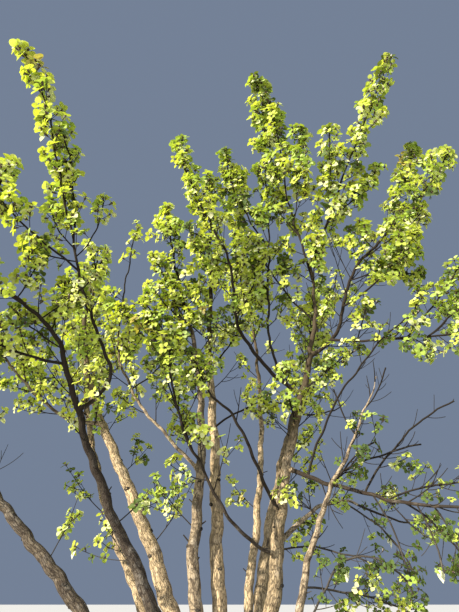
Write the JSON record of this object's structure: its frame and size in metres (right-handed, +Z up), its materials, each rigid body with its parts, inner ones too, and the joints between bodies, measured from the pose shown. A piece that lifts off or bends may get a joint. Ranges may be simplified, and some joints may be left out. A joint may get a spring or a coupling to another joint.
{
  "type": "handkerchief tree",
  "caption": "Multi-stemmed deciduous tree: leaning stems from one root crown, tapering boughs and open masses of young heart-shaped leaves.",
  "frame": {"origin": "middle of the flat cut at ground level under the root crown", "axes": "+Z up the tree, +X to the right of the front view, +Y away from the front view"},
  "size_m": [6.7965, 4.7469, 9.1004],
  "materials": {
    "pale_bark": "pale tan bark, finely fissured and flaking",
    "brown_bark": "brown bark, finely fissured and flaking",
    "dark_bark": "dark grey-brown bark with rough scars",
    "grey_bark": "grey mottled bark with dark branch scars",
    "foliage": "soft young leaves, yellow-green and faintly glossy",
    "bare_twigs": "matt dark brown twigs"
  },
  "bodies": {
    "root": {"root_crown": "brown_bark", "far_left_stem": "brown_bark", "front_left_stem": "dark_bark", "left_stem": "brown_bark", "back_left_stem": "dark_bark", "mid_left_stem": "grey_bark", "middle_stem": "pale_bark", "back_middle_stem": "brown_bark", "back_right_stem": "brown_bark", "main_stem": "pale_bark", "right_stem": "grey_bark", "high_left_bough": "dark_bark", "crossing_bough": "brown_bark", "inner_left_bough": "grey_bark", "slender_bough": "dark_bark", "drooping_bough": "dark_bark", "left_fork_bough": "dark_bark", "inner_leader_bough": "dark_bark", "right_leader_bough": "dark_bark", "mid_leader_bough": "dark_bark", "long_right_bough": "brown_bark", "level_right_bough": "dark_bark", "sweeping_bough": "brown_bark", "lower_right_bough": "dark_bark", "high_left_foliage": "foliage", "left_arm_foliage": "foliage", "left_shoot_foliage": "foliage", "front_left_foliage": "foliage", "low_left_foliage": "foliage", "crossing_foliage": "foliage", "far_left_foliage": "foliage", "left_foliage": "foliage", "back_left_foliage": "foliage", "rear_left_foliage": "foliage", "inner_left_foliage": "foliage", "mid_left_foliage": "foliage", "slender_foliage": "foliage", "drooping_foliage": "foliage", "middle_foliage": "foliage", "left_fork_foliage": "foliage", "inner_leader_foliage": "foliage", "inner_side_foliage": "foliage", "mid_leader_foliage": "foliage", "mid_side_foliage": "foliage", "right_inner_foliage": "foliage", "right_leader_foliage": "foliage", "long_right_foliage": "foliage", "right_shoot_foliage": "foliage", "outer_right_foliage": "foliage", "level_right_foliage": "foliage", "rising_twigs": "bare_twigs", "sweeping_foliage": "foliage", "lower_right_foliage": "foliage", "low_hanging_foliage": "foliage", "out_right_twigs": "bare_twigs", "cross_right_foliage": "foliage", "back_middle_foliage": "foliage", "rear_middle_foliage": "foliage", "back_right_foliage": "foliage", "rear_right_foliage": "foliage"}
  },
  "joints": []
}
